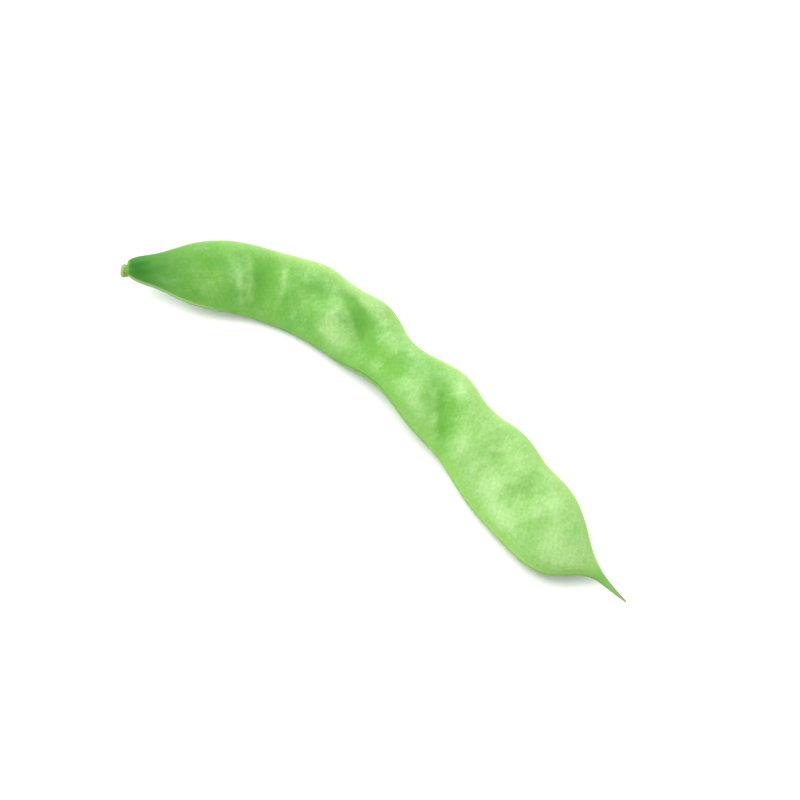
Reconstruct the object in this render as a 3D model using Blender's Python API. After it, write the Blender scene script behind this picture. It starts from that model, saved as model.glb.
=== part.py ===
"""A flat green bean: one pod with a thin beak, and the stub where its stalk broke off.

The pod is a closed section carried along a bent spine. It lies on its side on a flat surface,
with its long way along X and its face up. A share runs from 0 at the stem end to 1 at the tip
of the beak. Sizes are in millimetres here, and the meshes are in metres.
"""
import math

import bmesh
import bpy
import numpy as np
from mathutils import Matrix

MM = 0.001

# The spine: its length along X, and how far it bows sideways at each share
CHORD = 159.0
BOW = (
    (0.0, -4.6), (0.09, 4.8), (0.18, 13.1), (0.28, 18.2), (0.385, 19.1), (0.49, 16.9),
    (0.59, 13.6), (0.69, 9.2), (0.795, 4.4), (0.895, 0.9), (1.0, -0.8),
)

# The space under the pod. It dips below zero where the pod touches, which leaves a flat there
SPACE_BELOW = (
    (0.0, 5.2), (0.09, 2.8), (0.18, 0.6), (0.25, -0.2), (0.34, 0.8), (0.46, -0.1),
    (0.56, 1.0), (0.66, 0.8), (0.74, 0.2), (0.82, 0.9), (0.9, 1.5), (1.0, 2.0),
)

# How far the pod is rolled about its spine, in degrees, with the front edge down where positive
ROLL = (
    (0.0, 20.0), (0.09, 20.0), (0.18, 18.0), (0.28, 15.0), (0.365, 6.0), (0.45, -12.0),
    (0.51, -13.0), (0.59, -3.0), (0.69, 1.0), (0.8, 1.0), (1.0, 0.0),
)

# From the spine to the back edge, to the front edge, and to either face
BACK_REACH = (
    (0.0, 2.6), (0.045, 4.7), (0.09, 8.2), (0.13, 10.0), (0.18, 10.3), (0.225, 10.3),
    (0.275, 10.9), (0.335, 9.3), (0.385, 10.6), (0.44, 8.1), (0.55, 11.1), (0.625, 9.4),
    (0.685, 11.7), (0.75, 11.1), (0.8, 11.3), (0.865, 8.2), (0.905, 4.5), (0.945, 1.9),
    (1.0, 0.25),
)
FRONT_REACH = (
    (0.0, 3.5), (0.045, 5.5), (0.09, 8.5), (0.16, 9.3), (0.28, 10.0), (0.38, 10.5),
    (0.48, 9.5), (0.56, 10.8), (0.635, 10.1), (0.7, 11.2), (0.8, 11.5), (0.865, 10.4),
    (0.895, 7.5), (0.92, 2.6), (0.94, 0.7), (0.965, 0.35), (1.0, 0.2),
)
HALF_THICKNESS = (
    (0.0, 2.3), (0.06, 2.7), (0.15, 3.1), (0.3, 3.2), (0.7, 3.2), (0.84, 2.9), (0.905, 1.9),
    (0.95, 1.0), (1.0, 0.3),
)

# The section is a superellipse. Its faces are flatter towards an edge where the power is higher
BACK_FLATNESS = ((0.0, 2.4), (0.15, 2.8), (0.6, 3.4), (0.85, 3.6), (1.0, 2.4))
FRONT_FLATNESS = ((0.0, 2.4), (0.15, 3.0), (0.4, 3.6), (0.6, 5.0), (0.85, 5.8), (1.0, 2.4))
SECTION_THROUGH = 2.2

# The stem end closes over this share, and keeps this part of its section for its end face
STEM_END = 0.024
STEM_END_FACE = 0.5

# Swellings over the seeds: share, distance from the spine towards the back edge, height
SEEDS = (
    (0.085, 0.0, 0.5), (0.16, 0.5, 0.9), (0.243, 1.0, 0.7), (0.335, -1.5, 1.1),
    (0.443, 3.0, 1.0), (0.53, -2.5, 0.8), (0.605, 3.5, 0.8), (0.669, -1.5, 0.9),
    (0.738, 1.0, 0.9), (0.822, 1.5, 0.8), (0.872, -1.5, 0.5),
)
SEED_HALF_LENGTH = 6.4
SEED_HALF_WIDTH = 5.6
UNDERSIDE_SWELLING = 0.6

# Swellings and hollows fade towards both edges with this power of the distance across
FADE_POWER = 4

# Hollows in the faces: share, distance across, lean in mm a mm, depth, half width, half length
HOLLOWS = (
    (0.117, 2.0, 0.0, 0.35, 3.6, 6.0), (0.2, -1.0, 0.0, 0.45, 3.2, 9.0),
    (0.289, 0.5, 1.1, 0.35, 4.0, 6.0), (0.371, 1.5, -1.4, 0.95, 4.6, 8.0),
    (0.59, -1.5, -1.1, 0.9, 4.8, 7.5), (0.705, 0.0, -0.6, 0.35, 3.4, 7.0),
    (0.777, 0.0, 0.4, 0.45, 3.2, 6.5), (0.84, -1.8, -0.3, 0.35, 3.0, 5.5),
)
UNDERSIDE_HOLLOW = 0.5

# The seams: the front edge opens along the deeper one
FRONT_SEAM_DEPTH = 0.45
BACK_SEAM_DEPTH = 0.18
SEAM_HALF_WIDTH = 0.4
SEAM_REACH = 0.8

# The faces are plain at both ends, over these shares
PLAIN_STEM_END = 0.07
PLAIN_TIP = 0.12

# The mesh: rings along the pod, points round each ring, and how much closer rings lie at the ends
RINGS = 108
RING_POINTS = 32
END_CROWDING = 0.6

# The stalk stub, a collar with a torn, hollowed end: distance out from the pod, radius
STUB_PROFILE = (
    (0.0, 0.0), (0.0, 1.5), (0.2, 1.8), (0.5, 1.85), (0.9, 1.65), (1.25, 1.3), (1.4, 0.95),
    (1.3, 0.6), (1.15, 0.25), (1.1, 0.0),
)
STUB_GAP = 0.3
STUB_ACROSS = -1.3
STUB_SIDES = 20
STUB_FLATTENING = 0.8
MERGE_DISTANCE = 0.01

SHARP_ANGLE = math.radians(50)

# Colour, roughness and subsurface weight
SKIN = ((0.25, 0.56, 0.12), 0.42, 0.1)
STALK = ((0.55, 0.6, 0.22), 0.7, 0.05)


def clear_scene():
    """Remove every object of the open scene."""
    for item in list(bpy.data.objects):
        bpy.data.objects.remove(item, do_unlink=True)


def curve(points, share):
    """Read a smooth natural cubic through the points at each share."""
    at, value = np.array(points).T
    step = np.diff(at)
    rise = np.diff(value) / step
    system = np.eye(len(at))
    pull = np.zeros(len(at))
    for i in range(1, len(at) - 1):
        system[i, i - 1:i + 2] = step[i - 1], 2 * (step[i - 1] + step[i]), step[i]
        pull[i] = 6 * (rise[i] - rise[i - 1])
    bend = np.linalg.solve(system, pull)
    span = np.clip(np.searchsorted(at, share) - 1, 0, len(step) - 1)
    low = share - at[span]
    high = at[span + 1] - share
    cubic = (bend[span] * high**3 + bend[span + 1] * low**3) / (6 * step[span])
    from_low = (value[span] / step[span] - bend[span] * step[span] / 6) * high
    from_high = (value[span + 1] / step[span] - bend[span + 1] * step[span] / 6) * low
    return cubic + from_low + from_high


def ease(value):
    """Run smoothly from 0 to 1 as the value does."""
    held = np.clip(value, 0.0, 1.0)
    return held * held * (3 - 2 * held)


def bell(distance, half_width):
    """Fall smoothly from 1 at no distance towards 0."""
    return np.exp(-(distance / half_width) ** 2)


def plain_section(share):
    """Give the plain section's points across and through the pod, a row for each share."""
    turn = np.linspace(0.0, 2 * math.pi, RING_POINTS, endpoint=False)
    cosine = np.cos(turn).round(9)[None, :]
    face = np.sign(np.sin(turn).round(9))[None, :]
    to_back = cosine > 0
    reach = np.where(to_back, curve(BACK_REACH, share)[:, None], curve(FRONT_REACH, share)[:, None])
    back_flatness = curve(BACK_FLATNESS, share)[:, None]
    front_flatness = curve(FRONT_FLATNESS, share)[:, None]
    flatness = np.where(to_back, back_flatness, front_flatness)
    bulge = (1 - np.abs(cosine) ** flatness) ** (1 / SECTION_THROUGH)
    return cosine * reach, face * bulge * curve(HALF_THICKNESS, share)[:, None]


def face_relief(share, across, upper):
    """Give how far each face rises over the seeds and sinks in the hollows."""
    along = CHORD * share[:, None]
    height = np.zeros_like(across)
    for seed_share, seed_across, seed_height in SEEDS:
        lengthwise = bell(along - CHORD * seed_share, SEED_HALF_LENGTH)
        crosswise = bell(across - seed_across, SEED_HALF_WIDTH)
        height += seed_height * lengthwise * crosswise * np.where(upper, 1.0, UNDERSIDE_SWELLING)
    for hollow_share, hollow_across, lean, depth, half_width, half_length in HOLLOWS:
        sideways = across - hollow_across
        lengthwise = bell(along - CHORD * hollow_share - lean * sideways, half_width)
        crosswise = bell(sideways, half_length)
        height -= depth * lengthwise * crosswise * np.where(upper, 1.0, UNDERSIDE_HOLLOW)
    return height


def section(share):
    """Give the finished section, with its faces, seams and closed stem end."""
    across, through = plain_section(share)
    back = curve(BACK_REACH, share)[:, None]
    front = curve(FRONT_REACH, share)[:, None]
    reach = np.where(across > 0, back, front)
    from_edge = reach - np.abs(across)
    body = ease(share / PLAIN_STEM_END) * ease((1 - share) / PLAIN_TIP)
    inside = 1 - (np.abs(across) / reach) ** FADE_POWER
    relief = inside * face_relief(share, across, through > 0)
    seam_depth = np.where(across > 0, BACK_SEAM_DEPTH, FRONT_SEAM_DEPTH)
    near_edge = bell(from_edge, SEAM_REACH)
    seam = seam_depth * near_edge * bell(through, SEAM_HALF_WIDTH) * body[:, None]
    across = across - np.sign(across) * seam
    through = through + np.sign(through) * relief * body[:, None]
    closing = np.clip(1 - share / STEM_END, 0.0, 1.0)
    close = STEM_END_FACE + (1 - STEM_END_FACE) * np.sqrt(1 - closing**2)
    return across * close[:, None], through * close[:, None]


def spine(share):
    """Give the spine's points, each as high as its plain section needs."""
    across, through = plain_section(share)
    roll = np.radians(curve(ROLL, share))[:, None]
    below = -(across * np.sin(roll) + through * np.cos(roll)).min(axis=1)
    height = curve(SPACE_BELOW, share) + below
    return np.stack([CHORD * (share - 0.5), curve(BOW, share), height], axis=1)


def spine_axes(share):
    """Give the spine's points, its direction, and the pod's ways across and through."""
    points = spine(share)
    along = np.gradient(points, share, axis=0)
    along /= np.linalg.norm(along, axis=1)[:, None]
    level = np.cross([0.0, 0.0, 1.0], along)
    level /= np.linalg.norm(level, axis=1)[:, None]
    upright = np.cross(along, level)
    roll = np.radians(curve(ROLL, share))[:, None]
    across = level * np.cos(roll) + upright * np.sin(roll)
    through = upright * np.cos(roll) - level * np.sin(roll)
    return points, along, across, through


def ring_shares():
    """Give the share of each ring, closer together towards both ends."""
    even = np.linspace(0.0, 1.0, RINGS)
    crowded = (1 - np.cos(math.pi * even)) / 2
    return (1 - END_CROWDING) * even + END_CROWDING * crowded


def pod_rings():
    """Give the pod's points, ring by ring, with none below the surface it lies on."""
    share = ring_shares()
    points, along, across_way, through_way = spine_axes(share)
    across, through = section(share)
    rings = points[:, None, :] + across[..., None] * across_way[:, None, :]
    rings = rings + through[..., None] * through_way[:, None, :]
    rings[..., 2] = np.maximum(rings[..., 2], 0.0)
    return rings


def material(name, colour, roughness, subsurface):
    """Make a Principled material."""
    made = bpy.data.materials.new(name)
    made.use_nodes = True
    shader = made.node_tree.nodes["Principled BSDF"]
    shader.inputs["Base Color"].default_value = (*colour, 1.0)
    shader.inputs["Roughness"].default_value = roughness
    shader.inputs["Metallic"].default_value = 0.0
    shader.inputs["Subsurface Weight"].default_value = subsurface
    return made


def finish(name, model, finish_material, parent):
    """Turn a closed bmesh into a smooth object with its material."""
    bmesh.ops.triangulate(model, faces=model.faces)
    mesh = bpy.data.meshes.new(name)
    model.to_mesh(mesh)
    model.free()
    mesh.shade_smooth()
    mesh.set_sharp_from_angle(angle=SHARP_ANGLE)
    mesh.materials.append(finish_material)
    item = bpy.data.objects.new(name, mesh)
    item.parent = parent
    bpy.context.collection.objects.link(item)
    return item


def make_pod(rings, parent):
    """Skin the rings, and close both ends."""
    model = bmesh.new()
    loops = [[model.verts.new(point * MM) for point in ring] for ring in rings]
    for near, far in zip(loops, loops[1:]):
        for i in range(RING_POINTS):
            j = (i + 1) % RING_POINTS
            model.faces.new((near[i], near[j], far[j], far[i]))
    stem_face = model.faces.new(reversed(loops[0]))
    tip_face = model.faces.new(loops[-1])
    bmesh.ops.poke(model, faces=[stem_face, tip_face])
    skin = material("pod_skin", *SKIN)
    return finish("pod", model, skin, parent)


def make_stub(parent):
    """Spin the stub's profile, and set it on the pod's end face."""
    model = bmesh.new()
    profile = [model.verts.new((radius * MM, 0.0, out * MM)) for out, radius in STUB_PROFILE]
    edges = [model.edges.new(pair) for pair in zip(profile, profile[1:])]
    bmesh.ops.spin(
        model, geom=profile + edges, cent=(0.0, 0.0, 0.0), axis=(0.0, 0.0, 1.0),
        angle=2 * math.pi, steps=STUB_SIDES, use_merge=True,
    )
    bmesh.ops.remove_doubles(model, verts=model.verts, dist=MERGE_DISTANCE * MM)
    bmesh.ops.scale(model, verts=model.verts, vec=(1.0, STUB_FLATTENING, 1.0))
    bmesh.ops.recalc_face_normals(model, faces=model.faces)
    stalk = material("stalk_tan", *STALK)
    stub = finish("stalk_stub", model, stalk, parent)
    points, along, across_way, through_way = spine_axes(ring_shares())
    outward = -along[0]
    axes = np.column_stack([across_way[0], np.cross(outward, across_way[0]), outward])
    stub.rotation_euler = Matrix(axes.tolist()).to_euler()
    stub.location = (points[0] + outward * STUB_GAP + across_way[0] * STUB_ACROSS) * MM
    return stub


def centre_over_origin(parent, items):
    """Move the bean so that the middle of its box is over the origin."""
    bpy.context.view_layer.update()
    corners = np.array([item.matrix_world @ vertex.co for item in items for vertex in item.data.vertices])
    middle = (corners.min(axis=0) + corners.max(axis=0)) / 2
    parent.location = (-middle[0], -middle[1], 0.0)
    bpy.context.view_layer.update()


def main():
    """Build the bean."""
    clear_scene()
    bean = bpy.data.objects.new("green_bean", None)
    bpy.context.collection.objects.link(bean)
    pod = make_pod(pod_rings(), bean)
    stub = make_stub(bean)
    centre_over_origin(bean, [pod, stub])


main()
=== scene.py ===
"""The looks of a flat green bean: its skin, seams and beak, and the torn stub of its stalk.

The pod is a closed section carried along a bent spine by a Geometry Nodes tree. A share runs from
0 at the stem end to 1 at the tip of the beak. Across the pod, plus is towards the back edge. Trees
work in millimetres, and each finished mesh is set down in metres.
"""
import math

import bpy
import numpy as np
from mathutils import Matrix, Vector


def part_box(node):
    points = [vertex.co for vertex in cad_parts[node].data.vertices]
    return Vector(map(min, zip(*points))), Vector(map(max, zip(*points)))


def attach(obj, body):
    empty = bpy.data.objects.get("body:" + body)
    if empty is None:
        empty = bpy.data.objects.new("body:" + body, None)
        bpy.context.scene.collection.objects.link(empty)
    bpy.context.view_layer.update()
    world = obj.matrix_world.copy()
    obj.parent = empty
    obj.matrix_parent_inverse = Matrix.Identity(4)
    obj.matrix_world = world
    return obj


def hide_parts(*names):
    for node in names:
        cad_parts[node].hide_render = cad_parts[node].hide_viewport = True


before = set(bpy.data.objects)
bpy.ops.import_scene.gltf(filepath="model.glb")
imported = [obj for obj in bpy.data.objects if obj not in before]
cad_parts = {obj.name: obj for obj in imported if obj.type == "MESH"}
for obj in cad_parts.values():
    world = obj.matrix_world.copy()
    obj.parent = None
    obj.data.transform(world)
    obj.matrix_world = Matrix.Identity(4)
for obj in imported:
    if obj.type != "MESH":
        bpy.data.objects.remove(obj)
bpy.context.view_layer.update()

MM = 0.001

# The form of the pod, the same as the solid's: its length along X, and at each share its bow and
# the space below it
CHORD = 159.0
BOW = (
    (0.0, -4.6), (0.09, 4.8), (0.18, 13.1), (0.28, 18.2), (0.385, 19.1), (0.49, 16.9),
    (0.59, 13.6), (0.69, 9.2), (0.795, 4.4), (0.895, 0.9), (1.0, -0.8),
)
SPACE_BELOW = (
    (0.0, 5.2), (0.09, 2.8), (0.18, 0.6), (0.25, -0.2), (0.34, 0.8), (0.46, -0.1),
    (0.56, 1.0), (0.66, 0.8), (0.74, 0.2), (0.82, 0.9), (0.9, 1.5), (1.0, 2.0),
)

# Its roll in degrees, with the front edge down where positive
ROLL = (
    (0.0, 20.0), (0.09, 20.0), (0.18, 18.0), (0.28, 15.0), (0.365, 6.0), (0.45, -12.0),
    (0.51, -13.0), (0.59, -3.0), (0.69, 1.0), (0.8, 1.0), (1.0, 0.0),
)

# From the spine to the back edge, to the front edge, and to either face
BACK_REACH = (
    (0.0, 2.6), (0.045, 4.7), (0.09, 8.2), (0.13, 10.0), (0.18, 10.3), (0.225, 10.3),
    (0.275, 10.9), (0.335, 9.3), (0.385, 10.6), (0.44, 8.1), (0.55, 11.1), (0.625, 9.4),
    (0.685, 11.7), (0.75, 11.1), (0.8, 11.3), (0.865, 8.2), (0.905, 4.5), (0.945, 1.9),
    (1.0, 0.25),
)
FRONT_REACH = (
    (0.0, 3.5), (0.045, 5.5), (0.09, 8.5), (0.16, 9.3), (0.28, 10.0), (0.38, 10.5),
    (0.48, 9.5), (0.56, 10.8), (0.635, 10.1), (0.7, 11.2), (0.8, 11.5), (0.865, 10.4),
    (0.895, 7.5), (0.92, 2.6), (0.94, 0.7), (0.965, 0.35), (1.0, 0.2),
)
HALF_THICKNESS = (
    (0.0, 2.3), (0.06, 2.7), (0.15, 3.1), (0.3, 3.2), (0.7, 3.2), (0.84, 2.9), (0.905, 1.9),
    (0.95, 1.0), (1.0, 0.3),
)

# The section is a superellipse. Its faces are flatter towards an edge where the power is higher
BACK_FLATNESS = ((0.0, 2.4), (0.15, 2.8), (0.6, 3.4), (0.85, 3.6), (1.0, 2.4))
FRONT_FLATNESS = ((0.0, 2.4), (0.15, 3.0), (0.4, 3.6), (0.6, 5.0), (0.85, 5.8), (1.0, 2.4))
SECTION_THROUGH = 2.2

# The height of the spine is worked out on a section of this many points, as in the solid
SECTION_POINTS = 32

# The stem end closes over this share, and keeps this part of its section for its end face
STEM_END = 0.024
STEM_END_FACE = 0.5

# An oval on a face has a share, a distance across, a lean in mm a mm, a height, depth or strength,
# and half its size along and across the pod

# Swellings over the seeds, without lean and all of one size: share, distance across, height
SEEDS = (
    (0.085, 0.0, 0.5), (0.16, 0.5, 0.9), (0.243, 1.0, 0.7), (0.335, -1.5, 1.1),
    (0.443, 3.0, 1.0), (0.53, -2.5, 0.8), (0.605, 3.5, 0.8), (0.669, -1.5, 0.9),
    (0.738, 1.0, 0.9), (0.822, 1.5, 0.8), (0.872, -1.5, 0.5),
)
SEED_SIZE = (6.4, 5.6)
SEED_OVALS = [(share, across, 0.0, height, *SEED_SIZE) for share, across, height in SEEDS]
UNDERSIDE_SWELLING = 0.6

# Hollows in the faces
HOLLOWS = (
    (0.117, 2.0, 0.0, 0.35, 3.6, 6.0), (0.2, -1.0, 0.0, 0.45, 3.2, 9.0),
    (0.289, 0.5, 1.1, 0.35, 4.0, 6.0), (0.371, 1.5, -1.4, 0.95, 4.6, 8.0),
    (0.59, -1.5, -1.1, 0.9, 4.8, 7.5), (0.705, 0.0, -0.6, 0.35, 3.4, 7.0),
    (0.777, 0.0, 0.4, 0.45, 3.2, 6.5), (0.84, -1.8, -0.3, 0.35, 3.0, 5.5),
)
UNDERSIDE_HOLLOW = 0.5

# Swellings and hollows fade towards both edges, and the faces are plain at both ends
FADE_POWER = 4.0
PLAIN_STEM_END = 0.07
PLAIN_TIP = 0.12

# The seams: the front edge opens along the deeper one
FRONT_SEAM_DEPTH = 0.45
BACK_SEAM_DEPTH = 0.18
SEAM_HALF_WIDTH = 0.4
SEAM_REACH = 0.8

# A fade says where it starts and ends, and how strong it is at both. Along the pod it is in
# shares, and in from an edge in mm. With two numbers only, it runs from 0 to 1

# The crease beside the front edge of the tip half: distance in from the edge, depth, half width,
# and its fades along the pod
CREASE_IN = 1.9
CREASE_DEPTH = 0.14
CREASE_HALF_WIDTH = 0.4
CREASE_STARTS = (0.7, 0.78)
CREASE_STOPS = (0.89, 0.93, 1.0, 0.0)

# The fine mesh, and how much closer its rings lie at the ends
RINGS = 640
RING_POINTS = 148
END_CROWDING = 0.5

# Fine relief: the size of the waves and pebbles of the skin, and how far they rise
WAVE_SIZE = 8.0
WAVE_HEIGHT = 0.25
PEBBLE_SIZE = 2.2
PEBBLE_HEIGHT = 0.04
PEBBLE_DETAIL = 3.0
SKIN_SEED = 3.7
PEBBLE_SEED_STEP = 5.0

# Puckers that run along the pod from its stem end
PUCKERS = 9
PUCKER_DEPTH = 0.05
PUCKERS_FADE = (0.0, 0.075, 1.0, 0.0)

# Pale patches of the upper face: waxy bloom with painted sheen, that is painted highlights. They lie
# over the seeds, and some are thin streaks that run across the pod
WAX_AND_SHEEN_PATCHES = (
    (0.05, -3.4, 0.0, 0.9, 3.5, 1.2), (0.098, -0.7, 0.0, 0.2, 2.0, 2.0),
    (0.118, 6.0, 0.4, 0.3, 3.0, 1.6), (0.147, 1.2, -0.2, 0.4, 1.1, 5.0),
    (0.158, 0.0, -0.25, 0.75, 1.3, 5.5), (0.174, 0.4, -0.2, 0.5, 0.9, 5.0),
    (0.228, 1.7, -0.21, 1.0, 0.9, 4.6), (0.268, 6.6, 0.0, 0.7, 3.5, 1.8),
    (0.313, 4.9, 0.0, 0.8, 2.4, 2.5), (0.328, -0.4, 0.0, 0.8, 2.6, 3.4),
    (0.333, 7.6, 0.0, 0.9, 2.6, 1.6), (0.352, -6.6, -0.3, 1.0, 4.6, 2.6),
    (0.358, 7.4, 0.0, 1.0, 3.2, 2.0), (0.392, 6.0, -1.0, 0.9, 2.2, 2.6),
    (0.47, 2.8, 0.0, 0.6, 1.3, 1.5), (0.512, -5.0, 0.0, 0.5, 1.6, 1.8),
    (0.548, -7.2, -0.6, 1.0, 3.2, 2.4), (0.574, 5.8, -0.8, 0.8, 1.8, 2.0),
    (0.645, -2.9, -0.9, 0.5, 1.2, 3.4), (0.707, 5.0, -0.4, 0.55, 3.2, 1.8),
    (0.73, -5.4, -0.6, 0.9, 4.4, 3.2), (0.783, -8.0, -0.4, 1.2, 4.6, 2.6),
    (0.82, 4.0, -1.2, 0.65, 2.0, 3.8), (0.868, -3.0, 0.0, 0.7, 5.0, 5.0),
    (0.9, -2.0, 0.0, 0.8, 3.0, 4.0),
)

# Darker green patches of the upper face: painted shade over the troughs and the waist, and the dark
# green of the stem end
SHADE_AND_DARK_PATCHES = (
    (0.015, -0.8, 0.0, 1.0, 2.0, 2.2), (0.118, 2.8, 0.0, 0.5, 2.8, 1.6),
    (0.187, 2.2, -0.4, 0.8, 1.9, 6.0), (0.209, 0.6, -0.3, 0.6, 1.0, 4.0),
    (0.245, -4.8, 0.0, 0.45, 6.0, 3.0), (0.275, 3.0, 0.0, 0.5, 4.2, 0.9),
    (0.31, 1.6, 0.0, 0.3, 1.4, 1.0), (0.418, -4.6, -0.6, 1.0, 2.6, 3.0),
    (0.45, -3.4, -1.0, 0.8, 3.6, 3.4), (0.485, -2.2, -0.6, 1.0, 4.0, 4.2),
    (0.535, 1.4, -0.4, 0.8, 2.8, 3.4), (0.6, 1.4, -0.8, 0.45, 2.4, 3.4),
    (0.618, -6.6, -1.0, 0.8, 2.4, 3.6), (0.698, 0.6, 0.0, 0.2, 4.6, 1.0),
    (0.772, 2.2, -0.5, 0.4, 2.8, 4.2), (0.838, -1.0, 0.0, 0.16, 1.8, 2.4),
)

# How far the rims of those patches stray, and the size and seeds of the noise that moves them
PATCH_STRAY = 0.85
PATCH_STRAY_SIZE = 3.4
PATCH_STRAY_SEEDS = (21.0, 22.0)

# The stalk stub: distance out from the pod, radius. Its root is sunk into the pod
STUB_PROFILE = (
    (-1.1, 1.4), (0.2, 1.8), (0.5, 1.85), (0.9, 1.65), (1.25, 1.3), (1.4, 0.95), (1.3, 0.6),
    (1.15, 0.25),
)

# Its distance out from the spine's end and across it, as for the solid, and its flattening
STUB_GAP = 0.3
STUB_ACROSS = -1.3
STUB_FLATTENING = 0.8
STUB_RINGS = 60
STUB_SIDES = 96
STUB_RIBS = 9
STUB_RIB_HEIGHT = 0.035

# The torn end: its fade outwards in mm, its height, the part of it that lies below the profile,
# and the size of its lumps, which are drawn out along the stalk
TORN_FADE = (0.9, 1.3)
TORN_HEIGHT = 0.24
TORN_SUNK = 0.5
TORN_LUMP = 0.5
TORN_LUMP_DRAWN = 0.2

# The grain of the stub's surface
GRAIN_SIZE = 0.35
GRAIN_HEIGHT = 0.03
STUB_DETAIL = 3.0
STUB_SEED = 1.3
GRAIN_SEED_STEP = 2.0

# The broken fibres that stand on the torn rim. The shortest is this part of the full length
FIBRES = 46
FIBRE_RADIUS = 0.045
FIBRE_TIP_RADIUS = 0.012
FIBRE_LENGTH = 0.42
FIBRE_SHORTEST = 0.45
FIBRE_SIDES = 5
FIBRE_SEGMENTS = 2

# Where they stand: distance out, radius of their ring, how far they stray and sink, and how far
# they tilt and turn
FIBRE_OUT = 1.15
FIBRE_RING = 0.95
FIBRE_STRAY = 0.28
FIBRE_SINK = 0.2
FIBRE_TILT = math.radians(28)
FIBRE_TURN = 6.28
FIBRE_PLACE_SEED = 4
FIBRE_TURN_SEED = 7
FIBRE_SIZE_SEED = 9

# For their colour the fibres count as this far out, past the torn rim
FIBRE_COLOUR_OUT = 2.0

# Colours of the skin, as the share of light that they give back
# The stem half is darker than the tip half: partly its own deeper green, partly painted shade
STEM_HALF_GREEN = (0.094, 0.282, 0.042, 1.0)
TIP_HALF_GREEN = (0.128, 0.33, 0.046, 1.0)
# Painted shade for the hollows and the shade patches
PAINTED_SHADE_GREEN = (0.092, 0.28, 0.03, 1.0)
STEM_END_GREEN = (0.024, 0.148, 0.01, 1.0)
STEM_TIP_GREEN = (0.005, 0.12, 0.001, 1.0)
YELLOW_GREEN = (0.14, 0.335, 0.032, 1.0)
# The rims: their own yellower green, paler with a painted glow through them and painted sheen
FRONT_RIM_GLOW_GREEN = (0.2, 0.41, 0.075, 1.0)
BACK_RIM_GLOW_GREEN = (0.25, 0.43, 0.11, 1.0)
# Painted highlight on the ridges beside the seams
RIM_HIGHLIGHT_GREEN = (0.33, 0.47, 0.2, 1.0)
# The pale green of the waxy bloom and of painted sheen
WAX_AND_SHEEN_GREEN = (0.305, 0.49, 0.185, 1.0)
BEAK_GREEN = (0.13, 0.31, 0.055, 1.0)
VEIN_GREEN = (0.05, 0.2, 0.01, 1.0)
SEAM_OLIVE = (0.1, 0.24, 0.03, 1.0)
PALE_SPECK = (0.3, 0.46, 0.17, 1.0)
DARK_SPECK = (0.05, 0.12, 0.02, 1.0)
DRY_TIP = (0.2, 0.23, 0.13, 1.0)

# Colours of the stub
STALK_TAN = (0.23, 0.34, 0.095, 1.0)
STALK_GREEN = (0.15, 0.31, 0.045, 1.0)
TORN_STRAW = (0.33, 0.38, 0.17, 1.0)
TORN_BROWN = (0.17, 0.16, 0.06, 1.0)

# Fades of the greens along the pod
TIP_HALF_FADE = (0.25, 0.75)
FRONT_RIM_ALONG = (0.5, 0.7, 0.15, 0.8)
BACK_RIM_ALONG = (0.08, 0.3, 0.25, 0.95)
STEM_END_FADE = (0.01, 0.13, 0.88, 0.0)
STEM_TIP_FADE = (0.02, 0.06, 0.9, 0.0)
STALK_GREEN_FADE = (0.001, 0.006, 0.8, 0.0)
BEAK_FADE = (0.918, 0.95, 0.0, 0.85)
DRY_TIP_FADE = (0.966, 1.0, 0.0, 0.9)
DRY_STRAY = 0.005
DRY_STRAY_SIZE = 2.0
DRY_STRAY_SEED = 4.0

# Fades of the greens in from an edge, and of the painted shade with the depth of a hollow in mm
FRONT_RIM_FADE = (0.3, 3.3, 1.0, 0.0)
BACK_RIM_FADE = (0.4, 4.8, 1.0, 0.0)
HOLLOW_SHADE_FADE = (0.22, 0.85, 0.0, 0.6)

# How much the patches of dark green and painted shade count beside the painted shade of the hollows
SHADE_AND_DARK_STRENGTH = 0.55

# A painted highlight along the ridge on either side of each seam: its distance from the seam, half
# width and fades. Along the front edge it shows at both ends only
RIM_LINE_OUT = 0.95
RIM_LINE_HALF_WIDTH = 0.42
RIM_LINE_FADE = (0.4, 0.9, 0.62, 0.0)
RIM_LINE_AT_STEM = (0.1, 0.16, 1.0, 0.0)
RIM_LINE_AT_TIP = (0.7, 0.78, 0.0, 0.5)
RIM_LINE_STOPS = (0.94, 0.97, 1.0, 0.0)

# The seam's own colour: half width, fade in from the edge, strength
SEAM_COLOUR_HALF_WIDTH = 0.22
SEAM_COLOUR_FADE = (0.2, 0.9, 1.0, 0.0)
SEAM_COLOUR = 0.4

# The waxy bloom and painted sheen: its fades along the pod, with the height of a swelling (painted
# highlight) and with the depth of a hollow, how much the patches count, and the range of their sum
WAX_AND_SHEEN_ALONG = (0.06, 0.8, 0.14, 0.5)
WAX_AND_SHEEN_OVER_SEEDS = (0.2, 1.0, 0.0, 0.1)
BARE_IN_HOLLOWS = (0.22, 0.8)
WAX_AND_SHEEN_IN_PATCHES = 0.42
BARE_IN_SHADE_AND_DARK = 0.4
WAX_AND_SHEEN_RANGE = (-0.05, 1.05)

# What changes from the stem half to the tip half: how bare the hollows are, how far in from an
# edge the wax and painted sheen are full, and what is left of them at the edge
WAX_AND_SHEEN_CHANGES = (0.55, 0.72)
BARENESS = (0.36, 0.24)
WAX_AND_SHEEN_EDGE_TO = (4.0, 2.8)
WAX_AND_SHEEN_AT_EDGE = (0.42, 0.34)
WAX_AND_SHEEN_EDGE_FROM = 0.4

# Mottling of the wax and painted sheen: size along, size across, contrast, seed, strength
WAX_AND_SHEEN_MOTTLING = (
    (4.5, 5.5, 1.4, 5.0, 0.28), (1.3, 2.6, 1.4, 6.0, 0.14), (0.45, 0.6, 1.5, 7.0, 0.12),
)

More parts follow.
